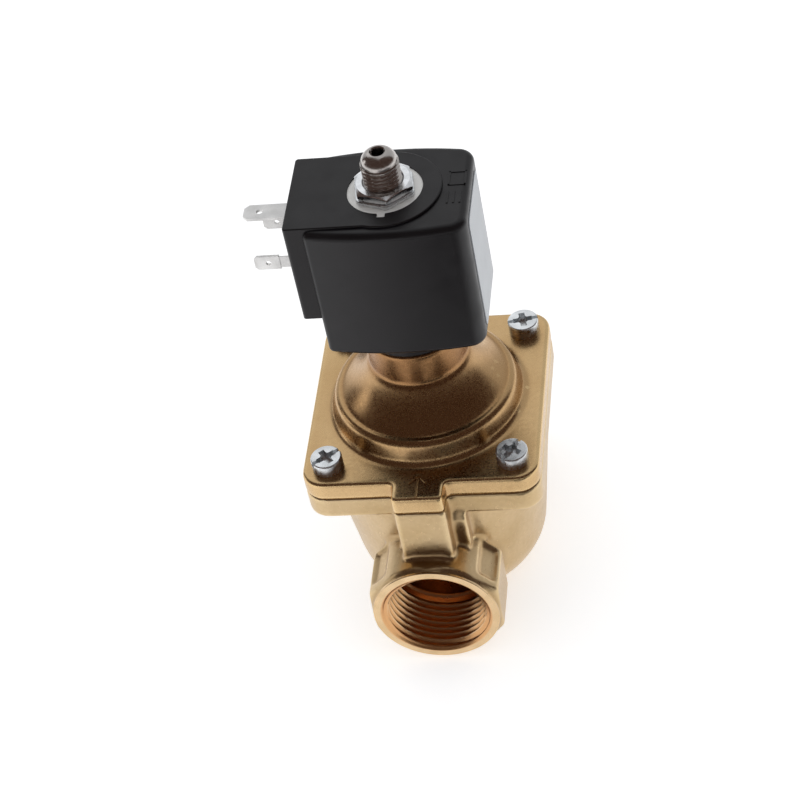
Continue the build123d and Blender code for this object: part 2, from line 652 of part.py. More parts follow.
with BuildPart() as shading_ring:
    with BuildSketch(Plane.XY.offset(CORE_BOTTOM_Z)):
        Circle(SHADING_OUTER_R)
        Circle(SHADING_INNER_R, mode=Mode.SUBTRACT)
    extrude(amount=SHADING_TOP_Z - CORE_BOTTOM_Z)

shading_ring.part.label = "shading_ring"
export_step(shading_ring.part, "parts/shading_ring.step")

with BuildPart() as exhaust_stub:
    # fixed core below, thread and rounded tip above, drilled through for the exhaust
    dome_r = STUB_THREAD_R - 0.5
    dome_z = STUB_THREAD_TOP_Z + 0.5
    with BuildSketch(Plane.XZ):
        with BuildLine():
            Polyline(
                (STUB_BORE_R, CORE_BOTTOM_Z), (SHADING_INNER_R, CORE_BOTTOM_Z),
                (SHADING_INNER_R, SHADING_TOP_Z), (SHADING_OUTER_R, SHADING_TOP_Z),
                (SHADING_OUTER_R, CORE_BOTTOM_Z), (TUBE_INNER_R, CORE_BOTTOM_Z),
                (TUBE_INNER_R, TUBE_TOP_Z), (STUB_SHANK_R, TUBE_TOP_Z),
                (STUB_SHANK_R, NUT_TOP_Z), (STUB_THREAD_R, NUT_TOP_Z + 0.1),
                (STUB_THREAD_R, STUB_THREAD_TOP_Z), (dome_r, dome_z),
            )
            ThreePointArc((dome_r, dome_z), (4.2, STUB_TIP_Z - 1.0), (2.9, STUB_TIP_Z))
            Polyline(
                (2.9, STUB_TIP_Z), (STUB_BORE_R + 0.3, STUB_TIP_Z),
                (STUB_BORE_R, STUB_TIP_Z - 0.3), (STUB_BORE_R, CORE_BOTTOM_Z),
            )
        make_face()
    revolve(axis=Axis.Z)
    # one groove for each turn of the thread above the nut
    root_r = STUB_THREAD_R - STUB_THREAD_DEPTH
    turns = int((STUB_THREAD_TOP_Z - NUT_TOP_Z) / STUB_PITCH)
    with BuildSketch(Plane.XZ):
        for turn in range(turns):
            groove_z = STUB_THREAD_TOP_Z - (turn + 0.5) * STUB_PITCH
            with BuildLine():
                Polyline(
                    (STUB_THREAD_R + 0.1, groove_z - 0.5), (root_r, groove_z - 0.1),
                    (root_r, groove_z + 0.1), (STUB_THREAD_R + 0.1, groove_z + 0.5), close=True,
                )
            make_face()
    revolve(axis=Axis.Z, mode=Mode.SUBTRACT)
    # two nicks in the rim of the tip's hole, for a driver
    with BuildSketch(Plane.XY.offset(STUB_TIP_Z)):
        Rectangle(2 * STUB_BORE_R + 1.2, 0.9)
    extrude(amount=-0.9, mode=Mode.SUBTRACT)

exhaust_stub.part.label = "exhaust_stub"
export_step(exhaust_stub.part, "parts/exhaust_stub.step")

# ---------------------------------------------------------------- nut and lock plate

with BuildPart() as lock_washer:
    with BuildSketch(Plane.XY.offset(LOCK_Z)):
        RegularPolygon(LOCK_FLATS / 2, 6, major_radius=False, rotation=NUT_TURN - 2)
        Circle(STUB_SHANK_R, mode=Mode.SUBTRACT)
    extrude(amount=LOCK_THICKNESS)
    fillet(lock_washer.edges().filter_by(Axis.Z), radius=0.8)

lock_washer.part.label = "lock_washer"
export_step(lock_washer.part, "parts/lock_washer.step")

with BuildPart() as coil_nut:
    with BuildSketch(Plane.XY.offset(NUT_Z)):
        RegularPolygon(NUT_FLATS / 2, 6, major_radius=False, rotation=NUT_TURN)
    extrude(amount=NUT_HEIGHT)
    # corners turned off at 30 degrees on both faces
    corner_r = NUT_FLATS / sqrt(3) + 0.2
    drop = 0.55
    with BuildSketch(Plane.XZ):
        with BuildLine():
            Polyline(
                (0, NUT_Z), (corner_r - 0.9, NUT_Z), (corner_r, NUT_Z + drop),
                (corner_r, NUT_Z + NUT_HEIGHT - drop), (corner_r - 0.9, NUT_Z + NUT_HEIGHT),
                (0, NUT_Z + NUT_HEIGHT), close=True,
            )
        make_face()
    revolve(axis=Axis.Z, mode=Mode.INTERSECT)
    with Locations((0, 0, NUT_TOP_Z)):
        CounterSinkHole(STUB_SHANK_R, STUB_THREAD_R + 0.6, depth=NUT_HEIGHT)

coil_nut.part.label = "coil_nut"
export_step(coil_nut.part, "parts/coil_nut.step")

# ---------------------------------------------------------------- coil

with BuildPart() as coil_housing:
    # main block
    left = COIL_LEFT_X
    right = COIL_RIGHT_X
    side = COIL_CORNER_Y
    middle = (left + right) / 2
    with BuildSketch(Plane.XY.offset(COIL_BOTTOM_Z)) as block:
        with BuildLine():
            ThreePointArc((left, -side), (middle, -side - COIL_BULGE), (right, -side))
            Line((right, -side), (right, side))
            ThreePointArc((right, side), (middle, side + COIL_BULGE), (left, side))
            Line((left, side), (left, -side))
        make_face()
        fillet(block.vertices().group_by(Axis.X)[-1], radius=5.0)
        fillet(block.vertices().group_by(Axis.X)[0], radius=1.6)
    extrude(amount=COIL_TOP_Z - PLATEAU_STEP - COIL_BOTTOM_Z)
    fillet(coil_housing.faces().sort_by(Axis.Z)[-1].edges(), radius=2.2)
    fillet(coil_housing.faces().sort_by(Axis.Z)[0].edges(), radius=1.8)
    # terminal block at the left, flush with the plateau
    block_depth = COIL_LEFT_X + 6 - TERMINAL_BLOCK_X
    with BuildSketch(Plane.XY.offset(TERMINAL_BLOCK_BOTTOM_Z)):
        with Locations((TERMINAL_BLOCK_X + block_depth / 2, 0)):
            RectangleRounded(block_depth, 2 * TERMINAL_BLOCK_Y, 1.0)
    extrude(amount=COIL_TOP_Z - TERMINAL_BLOCK_BOTTOM_Z)
    # plateau with a round end about the tube
    with BuildSketch(Plane.XY.offset(COIL_TOP_Z - PLATEAU_STEP - 3.0)):
        Circle(PLATEAU_R)
        with Locations((COIL_LEFT_X / 2 + 1, 0)):
            Rectangle(-COIL_LEFT_X + 2, 2 * TERMINAL_BLOCK_Y)
    extrude(amount=PLATEAU_STEP + 3.0)
    fillet(coil_housing.faces().sort_by(Axis.Z)[-1].edges(), radius=0.4)
    # space for the winding, magnet frame and plates
    with BuildSketch(Plane.XY.offset(COIL_BOTTOM_Z + 2.5)):
        with Locations(((COIL_LEFT_X + COIL_RIGHT_X) / 2 - 1, 0)):
            Rectangle(2 * FRAME_X, 2 * BOBBIN_R)
    extrude(amount=COIL_TOP_Z - COIL_BOTTOM_Z - 5.5, mode=Mode.SUBTRACT)
    with BuildSketch(Plane.XY.offset(COIL_BOTTOM_Z)):
        Circle(COIL_BORE_R)
    extrude(amount=3, mode=Mode.SUBTRACT)
    with BuildSketch(Plane.XY.offset(COIL_TOP_Z)):
        Circle(PLATE_R)
        with Locations((0, -PLATE_R)):
            Rectangle(KEY_WIDTH, 2 * KEY_REACH)
    extrude(amount=-3.5, mode=Mode.SUBTRACT)
    # slots for the roots of the blades
    with BuildSketch(Plane.YZ.offset(TERMINAL_BLOCK_X)):
        with Locations((0, EARTH_Z)):
            Rectangle(EARTH_WIDTH, BLADE_THICKNESS)
        with Locations((-POWER_SPACING / 2, POWER_Z), (POWER_SPACING / 2, POWER_Z)):
            Rectangle(BLADE_THICKNESS / 2, POWER_WIDTH - 0.8)
    extrude(amount=4.0, mode=Mode.SUBTRACT)

coil_housing.part.label = "coil_housing"
export_step(coil_housing.part, "parts/coil_housing.step")

with BuildPart() as coil_label:
    # blank label plate on the right face
    with BuildSketch(Plane.YZ.offset(COIL_RIGHT_X)):
        with Locations((0, (COIL_BOTTOM_Z + COIL_TOP_Z) / 2 - 0.8)):
            RectangleRounded(24.0, 40.0, 2.0)
    extrude(amount=0.25)

coil_label.part.label = "coil_label"
export_step(coil_label.part, "parts/coil_label.step")

PLATE_TOP_Z = LOCK_Z
FRAME_TOP_Z = COIL_TOP_Z - 3.0
FRAME_FOOT_Z = COIL_BOTTOM_Z + 2.5

with BuildPart() as coil_top_plate:
    # steel pole plate with the key that stops it turning
    with BuildSketch(Plane.XY.offset(FRAME_TOP_Z)):
        Circle(PLATE_R - 0.05)
        with Locations((0, -PLATE_R)):
            Rectangle(KEY_WIDTH - 0.1, 2 * KEY_REACH - 0.1)
        Circle(COIL_BORE_R, mode=Mode.SUBTRACT)
    extrude(amount=PLATE_TOP_Z - FRAME_TOP_Z)

coil_top_plate.part.label = "coil_top_plate"
export_step(coil_top_plate.part, "parts/coil_top_plate.step")

with BuildPart() as magnet_frame:
    # steel strap bent round the winding
    with BuildSketch(Plane.XZ.offset(-FRAME_Y)):
        with Locations(Location((0, (FRAME_FOOT_Z + FRAME_TOP_Z) / 2))):
            RectangleRounded(2 * FRAME_X - 0.6, FRAME_TOP_Z - FRAME_FOOT_Z, 2.5)
            Rectangle(
                2 * (FRAME_X - FRAME_SHEET), FRAME_TOP_Z - FRAME_FOOT_Z - 2 * FRAME_SHEET,
                mode=Mode.SUBTRACT,
            )
    extrude(amount=2 * FRAME_Y)
    with BuildSketch(Plane.XY.offset(FRAME_FOOT_Z)):
        Circle(COIL_BORE_R)
    extrude(amount=FRAME_TOP_Z - FRAME_FOOT_Z, mode=Mode.SUBTRACT)

magnet_frame.part.label = "magnet_frame"
export_step(magnet_frame.part, "parts/magnet_frame.step")

BOBBIN_FOOT_Z = FRAME_FOOT_Z + FRAME_SHEET
BOBBIN_TOP_Z = FRAME_TOP_Z - FRAME_SHEET

with BuildPart() as bobbin:
    with BuildSketch(Plane.XZ):
        with BuildLine():
            Polyline(
                (COIL_BORE_R, BOBBIN_FOOT_Z), (BOBBIN_R - 0.2, BOBBIN_FOOT_Z),
                (BOBBIN_R - 0.2, BOBBIN_FOOT_Z + 1.5), (COIL_BORE_R + 1.2, BOBBIN_FOOT_Z + 1.5),
                (COIL_BORE_R + 1.2, BOBBIN_TOP_Z - 1.5), (BOBBIN_R - 0.2, BOBBIN_TOP_Z - 1.5),
                (BOBBIN_R - 0.2, BOBBIN_TOP_Z), (COIL_BORE_R, BOBBIN_TOP_Z), close=True,
            )
        make_face()
    revolve(axis=Axis.Z)

bobbin.part.label = "bobbin"
export_step(bobbin.part, "parts/bobbin.step")

with BuildPart() as winding:
    with BuildSketch(Plane.XY.offset(BOBBIN_FOOT_Z + 1.5)):
        Circle(BOBBIN_R - 1.0)
        Circle(COIL_BORE_R + 1.2, mode=Mode.SUBTRACT)
    extrude(amount=BOBBIN_TOP_Z - BOBBIN_FOOT_Z - 3.0)

winding.part.label = "winding"
export_step(winding.part, "parts/winding.step")

with BuildPart() as coil_base_ring:
    # black ring between the coil and the neck
    with BuildSketch(Plane.XY.offset(NECK_TOP_Z)):
        Circle(NECK_R + 0.1)
        Circle(COIL_BORE_R, mode=Mode.SUBTRACT)
    extrude(amount=COIL_BOTTOM_Z - NECK_TOP_Z)
    fillet(coil_base_ring.faces().sort_by(Axis.Z)[0].outer_wire().edges(), radius=0.9)

coil_base_ring.part.label = "coil_base_ring"
export_step(coil_base_ring.part, "parts/coil_base_ring.step")

# ---------------------------------------------------------------- terminals

BLADE_ROOT_X = TERMINAL_BLOCK_X + 4.0

with BuildPart() as terminal_earth:
    # lies flat
    tip_x = EARTH_TIP_X
    with BuildSketch(Plane.XY.offset(EARTH_Z)) as earth_plan:
        with Locations(((tip_x + BLADE_ROOT_X) / 2, 0)):
            Rectangle(BLADE_ROOT_X - tip_x, EARTH_WIDTH)
        chamfer(earth_plan.vertices().group_by(Axis.X)[0], length=1.4)
        with Locations((tip_x + 4.7, 0)):
            Circle(0.95, mode=Mode.SUBTRACT)
    extrude(amount=BLADE_THICKNESS / 2, both=True)

terminal_earth.part.label = "terminal_earth"
export_step(terminal_earth.part, "parts/terminal_earth.step")

for name, y in (("terminal_line", -POWER_SPACING / 2), ("terminal_neutral", POWER_SPACING / 2)):
    with BuildPart() as power_blade:
        # stands on edge: folded double outside, single sheet at its root
        fold_x = TERMINAL_BLOCK_X - 4.6
        tip_x = POWER_TIP_X
        with BuildSketch(Plane.XZ.offset(-y)) as blade_side:
            with Locations(((tip_x + fold_x) / 2, POWER_Z)):
                Rectangle(fold_x - tip_x, POWER_WIDTH)
            chamfer(blade_side.vertices().group_by(Axis.X)[0], length=0.9)
            with Locations((tip_x + 4.1, POWER_Z)):
                Circle(0.8, mode=Mode.SUBTRACT)
        extrude(amount=BLADE_THICKNESS / 2, both=True)
        with BuildSketch(Plane.XZ.offset(-y)):
            with Locations(((fold_x + BLADE_ROOT_X) / 2, POWER_Z)):
                Rectangle(BLADE_ROOT_X - fold_x, POWER_WIDTH - 0.8)
        extrude(amount=BLADE_THICKNESS / 4, both=True)
    power_blade.part.label = name
    export_step(power_blade.part, f"parts/{name}.step")
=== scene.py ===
import json
import math

import bmesh
import bpy
import numpy as np
from mathutils import Matrix, Vector, noise


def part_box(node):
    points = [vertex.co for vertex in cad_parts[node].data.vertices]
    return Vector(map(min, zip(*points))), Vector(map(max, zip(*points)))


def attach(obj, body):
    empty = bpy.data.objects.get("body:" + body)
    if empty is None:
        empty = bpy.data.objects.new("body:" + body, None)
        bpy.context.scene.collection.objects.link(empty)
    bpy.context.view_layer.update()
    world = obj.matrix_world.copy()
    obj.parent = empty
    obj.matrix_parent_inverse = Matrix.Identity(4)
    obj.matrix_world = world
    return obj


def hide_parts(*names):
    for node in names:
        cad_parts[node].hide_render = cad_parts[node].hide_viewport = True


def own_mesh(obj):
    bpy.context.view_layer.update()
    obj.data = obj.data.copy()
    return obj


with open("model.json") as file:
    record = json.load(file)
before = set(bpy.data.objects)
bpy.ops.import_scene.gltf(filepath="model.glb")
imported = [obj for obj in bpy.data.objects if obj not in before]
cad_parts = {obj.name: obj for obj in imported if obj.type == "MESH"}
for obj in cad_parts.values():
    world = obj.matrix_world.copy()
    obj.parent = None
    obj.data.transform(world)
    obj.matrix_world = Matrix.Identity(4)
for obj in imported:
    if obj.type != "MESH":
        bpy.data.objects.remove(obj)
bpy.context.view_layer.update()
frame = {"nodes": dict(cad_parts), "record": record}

# Looks of a diaphragm solenoid valve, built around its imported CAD. Metres, in the row frame:
# +Z up the armature tube, +Y from inlet to outlet, terminals towards -X.

MM = 0.001
NODES = frame["nodes"]
MOUNTS = {mount["name"]: mount for mount in frame["record"]["mounts"]}

PORT_AXIS_Z = MOUNTS["inlet_port"]["pos_m"][2]
PORT_THREAD_R = MOUNTS["inlet_port"]["dims"]["r_mm"] * MM
PORT_FACE_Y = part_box("valve_body")[1].y
SPLIT_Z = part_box("cover")[0].z
COVER_FLANGE_Z = SPLIT_Z + 6.5 * MM
SHOULDER_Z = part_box("coil_housing")[1].z - 0.8 * MM
PORT_PITCH = 25.4 / 11 * MM
STUB_THREAD_R = MOUNTS["exhaust_stub"]["dims"]["r_mm"] * MM
STUB_PITCH = 25.4 / 20 * MM
NUT_FLATS = 16.0 * MM
NUT_TURN = -18.6
LOCK_FLATS = 16.8 * MM
LOCK_TURN = NUT_TURN - 2

# raised bars: x and y of the middle, width and length in millimetres, turn in degrees
MARK_BARS = (
    (18.2, 3.6, 0.6, 6.2, 0), (22.8, 3.6, 0.6, 6.2, 0), (20.5, 6.4, 0.6, 5.2, 90),
    (20.5, 0.8, 0.6, 5.2, 90), (18.3, -4.6, 0.6, 5.2, 0), (20.1, -4.6, 0.6, 5.2, 0),
    (21.9, -4.6, 0.6, 5.2, 0),
)
ARROW_BARS = ((0, -38.0, 0.8, 8.4, 0), (-1.25, -35.1, 0.8, 4.2, -40), (1.25, -35.1, 0.8, 4.2, 40))

# ---------------------------------------------------------------- camera, light and floor

CAMERA_PLACE = Vector((0.1211, -0.5106, 0.5711))
CAMERA_AZIMUTH = 14.294
CAMERA_ELEVATION = 43.793
CAMERA_ROLL = -12.498
CAMERA_LENS = 106.4

WORLD_STRENGTH = 0.64
FLOOR_GLOW = 0.50
CARD_LEFT, CARD_RIGHT = -0.10, 0.04
CARD_EDGE_Y = -0.116
CARD_STRIPS = 12
SCREEN_RADIUS = 1.6
SCREEN_LOW, SCREEN_HIGH = 2, 84
SCREEN_LEFT, SCREEN_RIGHT = -122, 118
SCREEN_COLOR = (0.05, 0.035, 0.03)
SCREEN_TINT = (1, 0.52, 0.36)
SCREEN_GLOW = 0.028


def make_camera():
    """Looks down on the inlet side from a little to the right, tilted about its own line of sight."""
    azimuth, elevation = math.radians(CAMERA_AZIMUTH), math.radians(CAMERA_ELEVATION)
    roll = math.radians(CAMERA_ROLL)
    back = Vector((
        math.sin(azimuth) * math.cos(elevation),
        -math.cos(azimuth) * math.cos(elevation),
        math.sin(elevation),
    ))
    right = (-back).cross(Vector((0, 0, 1))).normalized()
    up = right.cross(-back)
    tilted_right = right * math.cos(roll) + up * math.sin(roll)
    tilted_up = up * math.cos(roll) - right * math.sin(roll)
    camera = bpy.data.objects.new("camera", bpy.data.cameras.new("camera"))
    camera.data.lens = CAMERA_LENS
    camera.data.sensor_width = 36
    camera.data.clip_start = 0.01
    camera.matrix_world = Matrix((
        (tilted_right.x, tilted_up.x, back.x, CAMERA_PLACE.x),
        (tilted_right.y, tilted_up.y, back.y, CAMERA_PLACE.y),
        (tilted_right.z, tilted_up.z, back.z, CAMERA_PLACE.z),
        (0, 0, 0, 1),
    ))
    bpy.context.scene.collection.objects.link(camera)
    bpy.context.scene.camera = camera


def area_light(name, place, size, power):
    """A soft box that faces the middle of the valve."""
    light = bpy.data.lights.new(name, "AREA")
    light.shape = "RECTANGLE"
    light.size, light.size_y = size
    light.energy = power
    lamp = bpy.data.objects.new(name, light)
    lamp.location = place
    lamp.rotation_euler = (Vector(place) - Vector((0, 0, 0.07))).to_track_quat("Z", "Y").to_euler()
    bpy.context.scene.collection.objects.link(lamp)


def make_studio():
    area_light("key", (-0.35, 0.75, 0.85), (0.9, 0.7), 0.5)
    area_light("side", (-1.0, 0.15, 0.30), (0.25, 0.4), 0.4)
    world = bpy.data.worlds.new("studio")
    world.use_nodes = True
    world.node_tree.nodes["Background"].inputs["Color"].default_value = (0.97, 0.98, 1.0, 1)
    world.node_tree.nodes["Background"].inputs["Strength"].default_value = WORLD_STRENGTH
    bpy.context.scene.world = world
    bpy.context.scene.view_settings.view_transform = "Standard"

    half = 3.0
    corners = [(-half, -half, 0), (half, -half, 0), (half, half, 0), (-half, half, 0)]
    stage_piece("floor", corners, [(0, 1, 2, 3)], (0.95, 0.95, 0.95), (1, 1, 1), FLOOR_GLOW)
    dark_screen()
    floor_cards()


def stage_piece(name, points, faces, base, glow, strength):
    """Floor or studio card: its own matt colour plus an even glow."""
    mesh = bpy.data.meshes.new(name)
    mesh.from_pydata(points, [], faces)
    piece = bpy.data.objects.new(name, mesh)
    bpy.context.scene.collection.objects.link(piece)
    paint = bpy.data.materials.new(name)
    paint.use_nodes = True
    shader = paint.node_tree.nodes["Principled BSDF"]
    shader.inputs["Base Color"].default_value = (*base, 1)
    shader.inputs["Roughness"].default_value = 0.9
    shader.inputs["Specular IOR Level"].default_value = 0.1
    shader.inputs["Emission Color"].default_value = (*glow, 1)
    shader.inputs["Emission Strength"].default_value = strength
    mesh.materials.append(paint)
    return piece


def only_in_reflections(card):
    card.visible_camera = False
    card.visible_diffuse = False
    card.visible_shadow = False


def dark_screen():
    """Dark curved screen round the front and over the top, open at the back."""
    rows, columns = 10, 18
    points = []
    for row in range(rows + 1):
        lift = math.radians(SCREEN_LOW + (SCREEN_HIGH - SCREEN_LOW) * row / rows)
        for column in range(columns + 1):
            turn = math.radians(SCREEN_LEFT + (SCREEN_RIGHT - SCREEN_LEFT) * column / columns)
            flat = SCREEN_RADIUS * math.cos(lift)
            points.append((flat * math.sin(turn), -flat * math.cos(turn), SCREEN_RADIUS * math.sin(lift)))
    faces = []
    for row in range(rows):
        for column in range(columns):
            corner = row * (columns + 1) + column
            faces.append((corner, corner + 1, corner + columns + 2, corner + columns + 1))
    screen = stage_piece("dark_screen", points, faces, SCREEN_COLOR, SCREEN_TINT, SCREEN_GLOW)
    only_in_reflections(screen)


def floor_cards():
    """Grey strips that lie before the valve and darken towards the right, for the coil's front."""
    for k in range(CARD_STRIPS):
        left = CARD_LEFT + (CARD_RIGHT - CARD_LEFT) * k / CARD_STRIPS
        right = left + (CARD_RIGHT - CARD_LEFT) / CARD_STRIPS
        if k == CARD_STRIPS - 1:
            right = 0.5
        outline = ((left, -0.6), (right, -0.6), (right, CARD_EDGE_Y), (left, CARD_EDGE_Y))
        corners = [(x, y, 0.001) for x, y in outline]
        light = 1.10 - 1.04 * (k + 1) / CARD_STRIPS
        name = f"floor_card_{k + 1}"
        card = stage_piece(name, corners, [(0, 1, 2, 3)], (0.02, 0.02, 0.02), (1, 0.96, 0.98), light)
        only_in_reflections(card)


# ---------------------------------------------------------------- materials

DOME_Z = 68 * MM
NECK_Z = 88 * MM
# Painted shade: the brown put inside the port passages and in the thread roots.
PASSAGE_SHADE_BROWN = (0.72, 0.40, 0.18)
# Each casting's light and dark random tones, then a brown for stains, hollows and the painted shade up the
# dome and neck.
BODY_TONES = ((0.76, 0.58, 0.34), (0.64, 0.47, 0.25), (0.30, 0.17, 0.07))
COVER_TONES = ((0.78, 0.56, 0.29), (0.68, 0.47, 0.23), (0.34, 0.17, 0.07))


class Finish:
    """A node material under construction: helpers add textures and mix them into its shader."""

    def __init__(self, name, color, metallic, roughness, **sockets):
        self.made = bpy.data.materials.new(name)
        self.made.use_nodes = True
        self.nodes = self.made.node_tree.nodes
        self.links = self.made.node_tree.links
        self.shader = self.nodes["Principled BSDF"]
        self.place = self.nodes.new("ShaderNodeTexCoord").outputs["Object"]
        self.set("Base Color", (*color, 1))
        self.set("Metallic", metallic)
        self.set("Roughness", roughness)
        for socket, value in sockets.items():
            self.set(socket.replace("_", " "), value)

    def set(self, socket, value):
        self.shader.inputs[socket].default_value = value

    def link(self, source, socket):
        self.links.new(source, self.shader.inputs[socket])

    def noise(self, scale, detail=3.0, stretch=(1, 1, 1)):
        """Cloudy values from 0 to 1; scale is in features per metre."""
        mapping = self.nodes.new("ShaderNodeMapping")
        mapping.inputs["Scale"].default_value = stretch
        self.links.new(self.place, mapping.inputs["Vector"])
        texture = self.nodes.new("ShaderNodeTexNoise")
        texture.inputs["Scale"].default_value = scale
        texture.inputs["Detail"].default_value = detail
        self.links.new(mapping.outputs["Vector"], texture.inputs["Vector"])
        return texture.outputs["Fac"]

    def ramp(self, value, low, high, start=0.0, end=1.0):
        """Stretches the values between low and high to start and end, and cuts off the rest."""
        node = self.nodes.new("ShaderNodeMapRange")
        self.links.new(value, node.inputs["Value"])
        for socket, number in (("From Min", low), ("From Max", high), ("To Min", start), ("To Max", end)):
            node.inputs[socket].default_value = number
        return node.outputs["Result"]

    def mix(self, factor, first, second, kind="MIX"):
        """Two colours, given or linked, mixed by a value."""
        node = self.nodes.new("ShaderNodeMix")
        node.data_type = "RGBA"
        node.blend_type = kind
        self.links.new(factor, node.inputs["Factor"])
        for slot, color in ((6, first), (7, second)):
            if isinstance(color, tuple):
                node.inputs[slot].default_value = (*color, 1)
            else:
                self.links.new(color, node.inputs[slot])
        return node.outputs[2]

    def add(self, first, second, share=1.0):
        node = self.nodes.new("ShaderNodeMath")
        node.operation = "MULTIPLY_ADD"
        self.links.new(second, node.inputs[0])
        node.inputs[1].default_value = share
        self.links.new(first, node.inputs[2])
        return node.outputs["Value"]

    def edges(self, low=0.47, high=0.56):
        """From 0 in hollows to 1 on raised edges."""
        geometry = self.nodes.new("ShaderNodeNewGeometry")
        return self.ramp(geometry.outputs["Pointiness"], low, high)

    def rings(self, scale, centre=(0, 0, 0), direction="Z"):
        """Fine turning lines about an axis through centre."""
        mapping = self.nodes.new("ShaderNodeMapping")
        mapping.inputs["Location"].default_value = [-c for c in centre]
        self.links.new(self.place, mapping.inputs["Vector"])
        texture = self.nodes.new("ShaderNodeTexWave")
        texture.wave_type = "RINGS"
        texture.rings_direction = direction
        texture.inputs["Scale"].default_value = scale
        texture.inputs["Distortion"].default_value = 1.5
        texture.inputs["Detail"].default_value = 2.0
        self.links.new(mapping.outputs["Vector"], texture.inputs["Vector"])
        return texture.outputs["Fac"]

    def height(self):
        parts = self.nodes.new("ShaderNodeSeparateXYZ")
        self.links.new(self.place, parts.inputs["Vector"])
        return parts.outputs["Z"]

    def off_port_axis(self):
        """Distance from the axis through both ports."""
        mapping = self.nodes.new("ShaderNodeMapping")
        mapping.inputs["Location"].default_value = (0, 0, -PORT_AXIS_Z)
        mapping.inputs["Scale"].default_value = (1, 0, 1)
        self.links.new(self.place, mapping.inputs["Vector"])
        length = self.nodes.new("ShaderNodeVectorMath")
        length.operation = "LENGTH"
        self.links.new(mapping.outputs["Vector"], length.inputs[0])
        return length.outputs["Value"]

    def bump(self, height, distance, strength=1.0):
        node = self.nodes.new("ShaderNodeBump")
        node.inputs["Strength"].default_value = strength
        node.inputs["Distance"].default_value = distance
        self.links.new(height, node.inputs["Height"])
        self.link(node.outputs["Normal"], "Normal")


def cast_brass(name, light, dark, stain_and_shade, roughness, skin):
    """Sand-cast brass: cloudy tone, brown in the hollows, a few specks, fine grain, and painted shade up the
    dome and neck and inside the port passages.
    """
    finish = Finish(name, light, 1.0, roughness)
    cloud = finish.ramp(finish.noise(60, 4), 0.34, 0.66)
    tone = finish.mix(cloud, dark, light)
    speck = finish.ramp(finish.noise(620, 2), 0.76, 0.82, 0.0, 0.3)
    tone = finish.mix(speck, tone, stain_and_shade)
    # Painted shade: part of the brown from the dome upward, and most of it on the neck under the coil.
    tone = finish.mix(finish.ramp(finish.height(), DOME_Z, DOME_Z + 6 * MM, 0.0, 0.42), tone, stain_and_shade)
    tone = finish.mix(finish.ramp(finish.height(), NECK_Z - 4 * MM, NECK_Z, 0.0, 0.85), tone, stain_and_shade)
    tone = finish.mix(finish.edges(0.455, 0.52), stain_and_shade, tone)
    # Painted shade inside the port passages.
    passage_shade = finish.ramp(finish.off_port_axis(), 17.3 * MM, 16.2 * MM)
    tone = finish.mix(passage_shade, tone, PASSAGE_SHADE_BROWN)
    finish.link(tone, "Base Color")
    grain = finish.noise(900, 2)
    finish.link(finish.ramp(grain, 0.3, 0.7, roughness - 0.03, roughness + 0.05), "Roughness")
    finish.bump(finish.add(grain, finish.noise(260, 2), 2.0), skin * MM)
    return finish.made


def machined_brass(name):
    """Bright turned faces at the mouth that fade, inside the thread, to painted highlights on the crests and
    painted shade in the roots.
    """
    bright = (0.80, 0.58, 0.34)
    finish = Finish(name, bright, 1.0, 0.26)
    cloud = finish.ramp(finish.noise(220, 3), 0.35, 0.7)
    face = finish.mix(cloud, (0.70, 0.50, 0.28), bright)
    inside = finish.ramp(finish.off_port_axis(), 17.5 * MM, 16.9 * MM)
    # Painted light: a highlight colour on the thread crests and a painted shade brown in the roots.
    root_shade = finish.ramp(finish.off_port_axis(), 15.1 * MM, 15.5 * MM)
    thread = finish.mix(root_shade, (0.84, 0.58, 0.33), PASSAGE_SHADE_BROWN)
    finish.link(finish.mix(inside, face, thread), "Base Color")
    lines = finish.rings(1800, (0, 0, PORT_AXIS_Z), "Y")
    finish.link(finish.ramp(lines, 0.0, 1.0, 0.22, 0.34), "Roughness")
    finish.bump(lines, 0.004 * MM)
    return finish.made


def moulded_plastic(name, color, roughness):
    """Satin thermoplastic with a faint spark-eroded skin and handling marks."""
    finish = Finish(name, color, 0.0, roughness, Specular_IOR_Level=0.36)
    cloud = finish.ramp(finish.noise(55, 3), 0.3, 0.7)
    lighter = tuple(c * 1.35 for c in color)
    finish.link(finish.mix(cloud, color, lighter), "Base Color")
    finish.link(finish.ramp(finish.noise(160, 4), 0.3, 0.7, roughness - 0.05, roughness + 0.08), "Roughness")
    finish.bump(finish.add(finish.noise(2600, 2), finish.noise(90, 2), 2.0), 0.006 * MM)
    return finish.made


def plated_steel(name, color, roughness, scale=350, metallic=1.0):
    """Plated or plain steel: small changes of tone, fine scratches, dull patches."""
    finish = Finish(name, color, metallic, roughness)
    darker = tuple(c * 0.78 for c in color)
    patch = finish.ramp(finish.noise(scale, 4), 0.38, 0.66)
    finish.link(finish.mix(patch, darker, color), "Base Color")
    dull = finish.ramp(finish.noise(scale * 2, 3), 0.3, 0.7, roughness * 0.75, roughness * 1.35)
    finish.link(dull, "Roughness")
    finish.bump(finish.noise(scale * 5, 2), 0.005 * MM)
    return finish.made


def brushed_plate(name, color, roughness, metallic):
    finish = Finish(name, color, metallic, roughness)
    streaks = finish.noise(500, 4, (0.08, 2.5, 1))
    finish.link(finish.mix(streaks, tuple(c * 0.8 for c in color), color), "Base Color")
    finish.link(finish.ramp(streaks, 0.3, 0.7, roughness - 0.06, roughness + 0.1), "Roughness")
    finish.bump(streaks, 0.008 * MM)
    return finish.made


